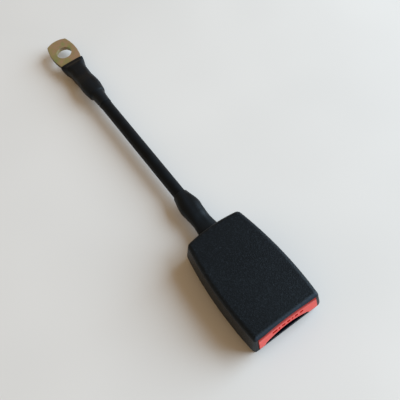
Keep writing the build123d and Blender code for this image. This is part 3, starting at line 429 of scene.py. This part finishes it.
mark_points, mark_faces = [], []
for start, end in MARK_SPANS:
    x, z = np.meshgrid(
        np.linspace(start, end, MARK_STEPS) * MM,
        np.linspace(MARK_Z - MARK_HEIGHT / 2, MARK_Z + MARK_HEIGHT / 2, 2),
        indexing="ij",
    )
    mark_faces += (grid_faces(MARK_STEPS, 2)[:, ::-1] + len(mark_points)).tolist()
    mark_points += button_face(x, z, MARK_LIFT).reshape(-1, 3).tolist()
mark_red = new_material("button_mark", BUTTON_MARK_COLOUR, 0.6, specular=0.0)[0]
make_piece("button_marks", mark_points, mark_faces, mark_red, "button")


# ---- Heat shrink sleeves ----
# Adhesive lined black tube, shrunk over each rope eye and its ferrule. It swells over the
# ferrule, hugs the two rope legs beside it, and ends in a cut lip on the sheath.
STALK_Z = 1.6  # middle of the stalk, millimetres as the other lengths in this section
MOUTH_Y = -260.8 * MM
STALK_BLACK = (0.003, 0.004, 0.0055)
SLEEVE_TINTS = ((0.35, (0.0008, 0.0022, 0.0042)), (0.7, (0.0022, 0.0044, 0.0080)))
SLEEVE_AROUND = 96
SLEEVE_STEP = 0.45
LIP_STEPS = 7
HEAD_WALL, ANCHOR_WALL = 0.9, 0.8
SLEEVE_BORE = 4.22  # half the bore where a sleeve hugs the sheath
LEAST_WALL = 0.12  # thinnest that its wall gets there
HEAD_HUG = (95.0, 110.0)  # where each sleeve lies on the sheath
ANCHOR_HUG = (-70.0, -47.0)
HEAD_SLEEVE = {  # y from the mouth: (half width, half height, squareness), millimetres
    68.8: (7.75, 3.10, 2.6),
    73.5: (7.15, 3.20, 2.6),
    77.5: (6.70, 3.55, 2.5),
    82.5: (6.20, 4.05, 2.4),
    87.0: (6.35, 4.95, 2.4),
    90.5: (6.60, 5.30, 2.5),
    94.6: (7.05, 5.45, 2.5),
    98.0: (6.65, 5.45, 2.4),
    101.0: (6.05, 5.30, 2.2),
    103.5: (5.45, 5.05, 2.0),
    105.7: (4.95, 4.90, 2.0),
}
ANCHOR_SLEEVE = {  # y: (half width, half height, squareness, middle z), millimetres
    -62.0: (4.40, 4.40, 2.0, 1.60),
    -58.5: (4.50, 4.50, 2.0, 1.60),
    -55.0: (4.68, 4.66, 2.0, 1.60),
    -52.4: (4.92, 4.82, 2.0, 1.60),
    -51.2: (5.06, 4.90, 2.1, 1.60),
    -50.5: (5.45, 5.00, 2.1, 1.60),
    -49.8: (6.02, 5.10, 2.2, 1.60),
    -48.8: (6.32, 5.14, 2.2, 1.60),
    -46.0: (6.70, 5.15, 2.3, 1.60),
    -42.0: (7.05, 5.20, 2.4, 1.60),
    -38.0: (7.00, 5.20, 2.4, 1.55),
    -34.0: (6.75, 5.15, 2.5, 1.00),
    -29.5: (6.65, 5.65, 2.6, -0.25),
    -25.0: (6.80, 6.10, 2.8, -0.85),
    -20.0: (6.95, 6.05, 2.9, -0.88),
    -16.6: (7.80, 5.85, 3.4, -0.75),
    -14.6: (8.55, 4.40, 4.0, -0.10),
    -13.2: (8.98, 2.95, 4.5, 1.10),
    -11.8: (9.20, 2.30, 5.0, 1.60),
}
HEAD_CREASES = (  # y, reach, depth, waves round the tube, phase
    (82.0, 5.0, 0.10, 5, 0.4),
    (100.5, 2.2, 0.08, 7, 1.1),
    (88.5, 1.2, 0.07, 2, 0.0),
)
ANCHOR_CREASES = (
    (-31.0, 4.0, 0.12, 5, 0.9),
    (-17.0, 1.6, 0.10, 6, 0.2),
    (-47.0, 1.8, 0.09, 4, 1.7),
)


def smooth_line(at, stops, values):
    """Cubic Hermite curve through (stops, values), its slopes the mean of its neighbours'."""
    stops, values = np.asarray(stops, float), np.asarray(values, float)
    slopes = np.gradient(values, stops)
    k = np.clip(np.searchsorted(stops, at) - 1, 0, len(stops) - 2)
    width = stops[k + 1] - stops[k]
    t = (at - stops[k]) / width
    return (
        (2 * t**3 - 3 * t**2 + 1) * values[k]
        + (t**3 - 2 * t**2 + t) * width * slopes[k]
        + (3 * t**2 - 2 * t**3) * values[k + 1]
        + (t**3 - t**2) * width * slopes[k + 1]
    )


def sleeve_profile(start, end, wall):
    """(y, depth) once round a wall: outside, round the end lip, back inside, round the start lip."""
    straight = np.arange(start, end, SLEEVE_STEP)
    turn = np.linspace(-math.pi / 2, math.pi / 2, LIP_STEPS)
    half = wall / 2
    lip = [(end + half * math.cos(a) - half, half + half * math.sin(a)) for a in turn]
    inner = [(y, wall) for y in straight[::-1]]
    back_lip = [(start - half * math.cos(a) + half, half - half * math.sin(a)) for a in turn]
    outer = [(y, 0.0) for y in straight]
    return np.array(outer[1:-1] + lip + inner[1:-1] + back_lip)


def sleeve_points(stations, wall, creases, hug):
    """Closed wall around a tube whose sections are superellipses.

    At angle a, x = width |cos a|^(2/n) and z = height |sin a|^(2/n), both less the depth in the
    wall; width, height, n and the middle's z follow smooth curves along y. In the range hug,
    where it lies on the sheath, the wall thins so that the bore stays round it. Creases are
    (y, reach, depth, waves, phase): shallow waves round the tube that fade away from y.
    """
    ys = np.array(sorted(stations))
    table = np.array([stations[y] for y in ys])
    profile = sleeve_profile(ys[0], ys[-1], wall)
    y, depth = profile[:, :1], profile[:, 1:]
    within = np.clip(y, ys[0], ys[-1])
    width, height, square = (smooth_line(within, ys, table[:, i]) for i in range(3))
    on_sheath = np.clip(np.minimum(width, height) - SLEEVE_BORE, LEAST_WALL, wall)
    depth = depth / wall * np.where((y > hug[0]) & (y < hug[1]), on_sheath, wall)
    has_middle = table.shape[1] > 3
    middle = smooth_line(within, ys, table[:, 3]) if has_middle else np.full_like(y, STALK_Z)
    angle = np.linspace(0, 2 * math.pi, SLEEVE_AROUND, endpoint=False)[None, :]
    ripple = np.zeros((len(y), SLEEVE_AROUND))
    for at, reach, amount, waves, phase in creases:
        ripple += amount * np.exp(-(((y - at) / reach) ** 2)) * np.cos(waves * angle + phase)
    ripple *= 1 - profile[:, 1:] / wall
    cos, sin = np.cos(angle), np.sin(angle)
    x = np.sign(cos) * np.abs(cos) ** (2 / square) * (width - depth + ripple)
    z = middle + np.sign(sin) * np.abs(sin) ** (2 / square) * (height - depth + ripple)
    return np.stack([x, y + 0 * angle, z], axis=-1)


def sleeve_material():
    """Satin black tube with a fine skin and soft streaks along it."""
    material, nodes, links, shader = new_material("shrink_sleeve", STALK_BLACK, 0.46, specular=0.20)
    shader.inputs["Specular Tint"].default_value = (*COVER_GLOSS, 1)
    skin = noise(nodes, links, scale=2600.0, detail=3.0)
    streak = noise(nodes, links, scale=260.0, detail=3.0, roughness=0.6, stretch=(1, 0.16, 1))
    links.new(ramp(nodes, links, streak, SLEEVE_TINTS), shader.inputs["Base Color"])
    spread(nodes, links, streak, 0.40, 0.54, shader.inputs["Roughness"])
    bump(nodes, links, shader, [(streak, 0.10 * MM), (skin, 0.03 * MM)])
    return material


shrink_black = sleeve_material()
head_points = sleeve_points(HEAD_SLEEVE, HEAD_WALL, HEAD_CREASES, HEAD_HUG) * MM
head_points[..., 1] += MOUTH_Y
anchor_points = sleeve_points(ANCHOR_SLEEVE, ANCHOR_WALL, ANCHOR_CREASES, ANCHOR_HUG) * MM
for name, node, points in (
    ("head_shrink_sleeve", "head_sleeve", head_points),
    ("anchor_shrink_sleeve", "anchor_sleeve", anchor_points),
):
    faces = grid_faces(*points.shape[:2], wrap_rows=True, wrap_columns=True)
    make_piece(name, points, faces, shrink_black, "buckle", (node,))


# ---- Sheath ----
# Extruded black PVC tube over both rope legs, from one ferrule to the other. It is slightly
# uneven where the rope's strands press against it from inside.
SHEATH_TINTS = ((0.35, (0.0006, 0.0014, 0.0028)), (0.7, (0.0016, 0.0032, 0.0054)))


def sheath_material():
    """Satin black tube with faint lengthwise die lines and the rope's lay showing through."""
    material, nodes, links, shader = new_material("sheath_plastic", STALK_BLACK, 0.44, specular=0.15)
    shader.inputs["Specular Tint"].default_value = (*COVER_GLOSS, 1)
    lines = noise(nodes, links, scale=900.0, detail=2.0, roughness=0.5, stretch=(1, 0.05, 1))
    lay = noise(nodes, links, scale=150.0, detail=2.0, roughness=0.5, stretch=(1, 0.7, 1))
    links.new(ramp(nodes, links, lay, SHEATH_TINTS), shader.inputs["Base Color"])
    spread(nodes, links, lay, 0.44, 0.58, shader.inputs["Roughness"])
    bump(nodes, links, shader, [(lay, 0.25 * MM), (lines, 0.03 * MM)])
    return material


wear("cable_sheath", sheath_material())


# ---- Anchor plate ----
# Three millimetre steel, blanked and tumbled so that its edges are soft, then zinc plated and
# yellow passivated: an olive gold film with drifts of green and pink.
SIDE_COLOUR = (0.085, 0.072, 0.048)
SIDE_TILT = (0.25, 0.85)  # the normal's Z up to which it is dull brown, and from which filmed
ZINC_COLOUR = (0.29, 0.24, 0.12)
FILM_TINTS = (
    (0.30, (0.17, 0.28, 0.09)),
    (0.40, (0.27, 0.26, 0.12)),
    (0.50, (0.31, 0.26, 0.13)),
    (0.60, (0.36, 0.25, 0.17)),
    (0.72, (0.25, 0.28, 0.12)),
)
BORE_REACH = 7.0 * MM  # the hole's wall, within this of its middle, keeps the film


def plate_material():
    """Passivated zinc: gold film that drifts to green and pink, dull brown where it faces sideways,
    except in the hole.
    """
    material, nodes, links, shader = new_material("yellow_zinc", ZINC_COLOUR, 0.42, metallic=0.6)
    drift = noise(nodes, links, scale=115.0, detail=2.5, roughness=0.55)
    facing_up = slope(nodes, links, axes(nodes, links, "normal")["Z"], *SIDE_TILT)
    place = axes(nodes, links, "place")
    squares = [combine(nodes, links, "MULTIPLY", place[axis], place[axis]) for axis in ("X", "Y")]
    reach = combine(nodes, links, "ADD", *squares)
    in_bore = combine(nodes, links, "LESS_THAN", reach, BORE_REACH**2)
    filmed = combine(nodes, links, "MAXIMUM", facing_up, in_bore)
    film = ramp(nodes, links, drift, FILM_TINTS)
    links.new(blend(nodes, links, filmed, SIDE_COLOUR, film), shader.inputs["Base Color"])
    tumbled = noise(nodes, links, scale=2200.0, detail=4.0, roughness=0.6)
    scratches = noise(nodes, links, scale=700.0, detail=3.0, roughness=0.6, stretch=(0.3, 1, 1))
    spread(nodes, links, scratches, 0.34, 0.50, shader.inputs["Roughness"])
    bump(nodes, links, shader, [(tumbled, 0.02 * MM), (scratches, 0.015 * MM)])
    return material


wear("anchor_plate", plate_material())


# ---- Steel frame, latch and pivot pin ----
# The frame is folded from bright zinc plated strip, the latch is blanked and hardened, and the
# pin is drawn bar, headed over outside the frame's walls.
def steel_material(name, colour, roughness, scale, stretch=(1, 1, 1)):
    """Worked steel: directional fine marks, slight cloudiness in colour and gloss."""
    material, nodes, links, shader = new_material(name, colour, roughness, metallic=1.0)
    marks = noise(nodes, links, scale, detail=4.0, roughness=0.6, stretch=stretch)
    cloud = noise(nodes, links, scale=90.0, detail=2.0)
    dark = tuple(0.86 * part for part in colour)
    light = tuple(min(1.0, 1.08 * part) for part in colour)
    links.new(ramp(nodes, links, cloud, [(0.35, dark), (0.7, light)]), shader.inputs["Base Color"])
    spread(nodes, links, marks, roughness - 0.07, roughness + 0.10, shader.inputs["Roughness"])
    bump(nodes, links, shader, [(marks, 0.012 * MM)])
    return material


wear("frame", steel_material("frame_steel", (0.62, 0.63, 0.65), 0.33, 1800.0, (1, 0.15, 1)))
wear("latch", steel_material("latch_steel", (0.40, 0.39, 0.39), 0.42, 2400.0))
wear("latch_pin", steel_material("pin_steel", (0.60, 0.60, 0.62), 0.25, 3000.0, (0.1, 1, 1)))


# ---- Ejector ----
# A forked black acetal moulding that straddles the latch's nose and pushes the tongue out. It
# slides in the frame, and a coil on the frame's rear tab drives it.
EJECTOR_COLOUR = (0.022, 0.022, 0.025)
EJECTOR_TINTS = ((0.35, (0.018, 0.018, 0.021)), (0.7, (0.030, 0.030, 0.034)))


def ejector_material():
    """Slippery black plastic with a light machined-mould texture."""
    material, nodes, links, shader = new_material("ejector_plastic", EJECTOR_COLOUR, 0.38)
    flow = noise(nodes, links, scale=320.0, detail=3.0, roughness=0.5, stretch=(1, 0.4, 1))
    links.new(ramp(nodes, links, flow, EJECTOR_TINTS), shader.inputs["Base Color"])
    spread(nodes, links, flow, 0.32, 0.45, shader.inputs["Roughness"])
    bump(nodes, links, shader, [(flow, 0.02 * MM)])
    return material


wear("ejector", ejector_material())


# ---- Springs ----
# Coils of patented steel wire: a pair behind the button, one over the latch and one behind the
# ejector. Their end turns lie close; they are drawn at one length, though the real ones shorten as their
# piece moves.
SPRING_AROUND = 10
SPRING_STEPS_PER_TURN = 28
END_TURNS = 1.0
# Piece, node, joint, part of its length kept at full travel, which way it runs from its feet,
# (radius, wire, length, turns), and the feet's places; lengths in millimetres.
SPRINGS = (
    (
        "button_spring_coils", "button_springs", "button_press", 0.76, "back",
        (1.6, 0.45, 25.0, 11), ((-17.5, -229.8, 6.5), (17.5, -229.8, 6.5)),
    ),
    (
        "latch_spring_coil", "latch_spring", "latch_swing", 0.42, "down",
        (2.6, 0.6, 5.6, 4), ((0, -236.3, 13.15),),
    ),
    (
        "ejector_spring_coil", "ejector_spring", "ejector_slide", 0.28, "back",
        (2.4, 0.5, 15.4, 9), ((0, -215.35, 0.85),),
    ),
)
spring_steel = steel_material("spring_steel", (0.52, 0.52, 0.53), 0.30, 2600.0)


def coil_points(radius, wire, length, turns):
    """Tube along a compression spring that stands on Z = 0, with END_TURNS closed at each end.

    The centre line turns steadily at radius - wire / 2, and its height grows by one wire's
    thickness over a closed turn and evenly between them. The tube's rings lie in the plane of
    the outward direction and the upward one.
    """
    steps = int(turns * SPRING_STEPS_PER_TURN)
    turn = np.linspace(0, turns, steps)
    close = wire * 1.02
    free = length - wire - 2 * END_TURNS * close
    lower = np.minimum(turn, END_TURNS) * close
    upper = np.maximum(turn - (turns - END_TURNS), 0) * close
    middle = np.clip((turn - END_TURNS) / (turns - 2 * END_TURNS), 0, 1) * free
    angle = 2 * math.pi * turn
    out = np.stack([np.cos(angle), np.sin(angle), np.zeros(steps)], axis=-1)
    centre = (radius - wire / 2) * out
    centre[:, 2] = wire / 2 + lower + middle + upper
    around = np.linspace(0, 2 * math.pi, SPRING_AROUND, endpoint=False)
    up = np.array([0.0, 0.0, 1.0])
    ring = np.cos(around)[None, :, None] * out[:, None, :] + np.sin(around)[None, :, None] * up
    return centre[:, None, :] + wire / 2 * ring


def coil_piece(name, node, joint, keep, along, size, feet):
    """Spring meshes at one or more feet, as one piece."""
    radius, wire, length, turns = size
    coil = coil_points(radius * MM, wire * MM, length * MM, turns)
    x, y, z = coil[..., 0], coil[..., 1], coil[..., 2]
    placed = np.stack([x, -z, y] if along == "back" else [x, -y, -z], axis=-1).reshape(-1, 3)
    rows, columns = coil.shape[:2]
    side = grid_faces(rows, columns, wrap_columns=True).tolist()
    caps = [list(range(columns)), list(range((rows - 1) * columns, rows * columns))[::-1]]
    points, faces = [], []
    for foot in feet:
        faces += [[corner + len(points) for corner in face] for face in side + caps]
        points += (placed + np.array(foot) * MM).tolist()
    piece = make_piece(name, points, faces, spring_steel, "buckle", (node,))
    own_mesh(piece)


for spring in SPRINGS:
    coil_piece(*spring)


# ---- Rope, ferrules, bushes, keepers and rivets ----
# One loop of galvanised wire rope runs round a riveted bush at each end, inside an alloy
# ferrule that is pressed oval on both legs, and a keeper washer closes each eye.
ROPE_COLOUR = (0.47, 0.47, 0.48)
ROPE_TINTS = ((0.35, (0.36, 0.36, 0.37)), (0.7, (0.55, 0.55, 0.56)))
ROPE_STRANDS = 260.0  # cycles per metre
ROPE_LAY = math.radians(62)


def rope_material():
    """Stranded wire: slanting ridges across the rope and finer ones on each strand."""
    material, nodes, links, shader = new_material("rope_steel", ROPE_COLOUR, 0.36, metallic=1.0)
    place = nodes.new("ShaderNodeTexCoord")
    mapping = nodes.new("ShaderNodeMapping")
    mapping.inputs["Rotation"].default_value = (0, 0, ROPE_LAY)
    strands = nodes.new("ShaderNodeTexWave")
    strands.inputs["Scale"].default_value = ROPE_STRANDS
    strands.inputs["Distortion"].default_value = 0.6
    links.new(place.outputs["Object"], mapping.inputs["Vector"])
    links.new(mapping.outputs["Vector"], strands.inputs["Vector"])
    dark = noise(nodes, links, scale=500.0, detail=3.0)
    links.new(ramp(nodes, links, dark, ROPE_TINTS), shader.inputs["Base Color"])
    bump(nodes, links, shader, [(strands.outputs["Fac"], 0.25 * MM), (dark, 0.03 * MM)])
    return material


wear("wire_rope", rope_material())
ferrule_alloy = steel_material("ferrule_alloy", (0.68, 0.68, 0.69), 0.38, 1400.0, (1, 0.3, 1))
rivet_steel = steel_material("rivet_steel", (0.56, 0.56, 0.56), 0.34, 2200.0)
for end in ("head", "anchor"):
    wear(end + "_ferrule", ferrule_alloy)
    for part in ("_bush", "_keeper", "_rivet"):
        wear(end + part, rivet_steel)


# ---- Cover screws ----
# Two black plated pan head screws with a cross recess, driven up from below through the lower
# cover into the upper one's bosses; their threads cut their own way.
SCREW_PLACES = ((-16.2, -210.8), (16.2, -210.8))
SCREW_HEAD_LOW = -6.0  # height of the head's top, which faces down; all in millimetres
SCREW_AROUND = 64
SCREW_HEAD = (2.6, 1.8)  # radius, height
SCREW_SHANK = (1.45, 13.0)  # radius over the thread, length
HEAD_ROWS, SIDE_ROWS, SHANK_ROWS = 26, 5, 150
HEAD_DOME = 0.5
TIP_RADIUS = 0.02
TIP_LENGTH, TIP_TAPER = 1.2, 0.12  # how long the point is, and what it narrows to
THREAD_PITCH = 1.3
THREAD_DEPTH = 0.28
THREAD_START, THREAD_STOP = 0.4, 0.3  # plain lengths under the head and at the point
RECESS_REACH, RECESS_HALF, RECESS_DEPTH = 1.5, 0.32, 0.9
RECESS_SIDE, RECESS_END = 0.10, 0.25  # how wide its walls slope, beside and at the end of an arm


def screw_points():
    """Surface of one screw, turned about Z with its head at the bottom.

    Rows follow the profile: out across the domed head, up its side, in under it and along the
    shank to the point. The cross recess presses the head's rows up where |x| or |y| is small,
    and the thread moves the shank's radius by a saw tooth in height less angle.
    """
    head_r, head_h = SCREW_HEAD
    shank_r, shank_l = SCREW_SHANK
    face_r = np.linspace(TIP_RADIUS, head_r, HEAD_ROWS)
    face_z = HEAD_DOME * (face_r / head_r) ** 4
    side_z = np.linspace(HEAD_DOME + 0.05, head_h, SIDE_ROWS)
    shank_z = np.linspace(head_h, head_h + shank_l, SHANK_ROWS)
    taper = np.clip((head_h + shank_l - shank_z) / TIP_LENGTH, TIP_TAPER, 1)
    radius = np.concatenate([face_r, np.full(SIDE_ROWS, head_r), shank_r * taper, [TIP_RADIUS]])
    height = np.concatenate([face_z, side_z, shank_z, [head_h + shank_l + 0.05]])
    angle = np.linspace(0, 2 * math.pi, SCREW_AROUND, endpoint=False)[None, :]
    r, z = radius[:, None] + 0 * angle, height[:, None] + 0 * angle
    x, y = r * np.cos(angle), r * np.sin(angle)
    arm = np.minimum(np.abs(x), np.abs(y))
    pressed = np.clip((RECESS_HALF - arm) / RECESS_SIDE, 0, 1)
    pressed *= np.clip((RECESS_REACH - r) / RECESS_END, 0, 1)
    z[:HEAD_ROWS] += (RECESS_DEPTH * pressed)[:HEAD_ROWS]
    tooth = np.abs(((z - head_h) / THREAD_PITCH - angle / (2 * math.pi)) % 1 - 0.5) * 2
    threaded = (z > head_h + THREAD_START) & (z < head_h + shank_l - THREAD_STOP)
    threaded = threaded.astype(float)
    threaded[: HEAD_ROWS + SIDE_ROWS] = 0
    cut = 1 - threaded * THREAD_DEPTH / shank_r * tooth**0.7
    return np.stack([x * cut, y * cut, z], axis=-1)


screw_black = steel_material("screw_steel", (0.09, 0.09, 0.10), 0.38, 2600.0)
screw = screw_points()
rows, columns = screw.shape[:2]
screw_faces = grid_faces(rows, columns, wrap_columns=True)[:, ::-1].tolist()
screw_faces += [list(range(columns))[::-1], list(range((rows - 1) * columns, rows * columns))]
points, faces = [], []
for x, y in SCREW_PLACES:
    faces += [[corner + len(points) for corner in face] for face in screw_faces]
    points += ((screw.reshape(-1, 3) + np.array([x, y, SCREW_HEAD_LOW])) * MM).tolist()
make_piece("cover_screw_pair", points, faces, screw_black, "buckle", ("cover_screws",))
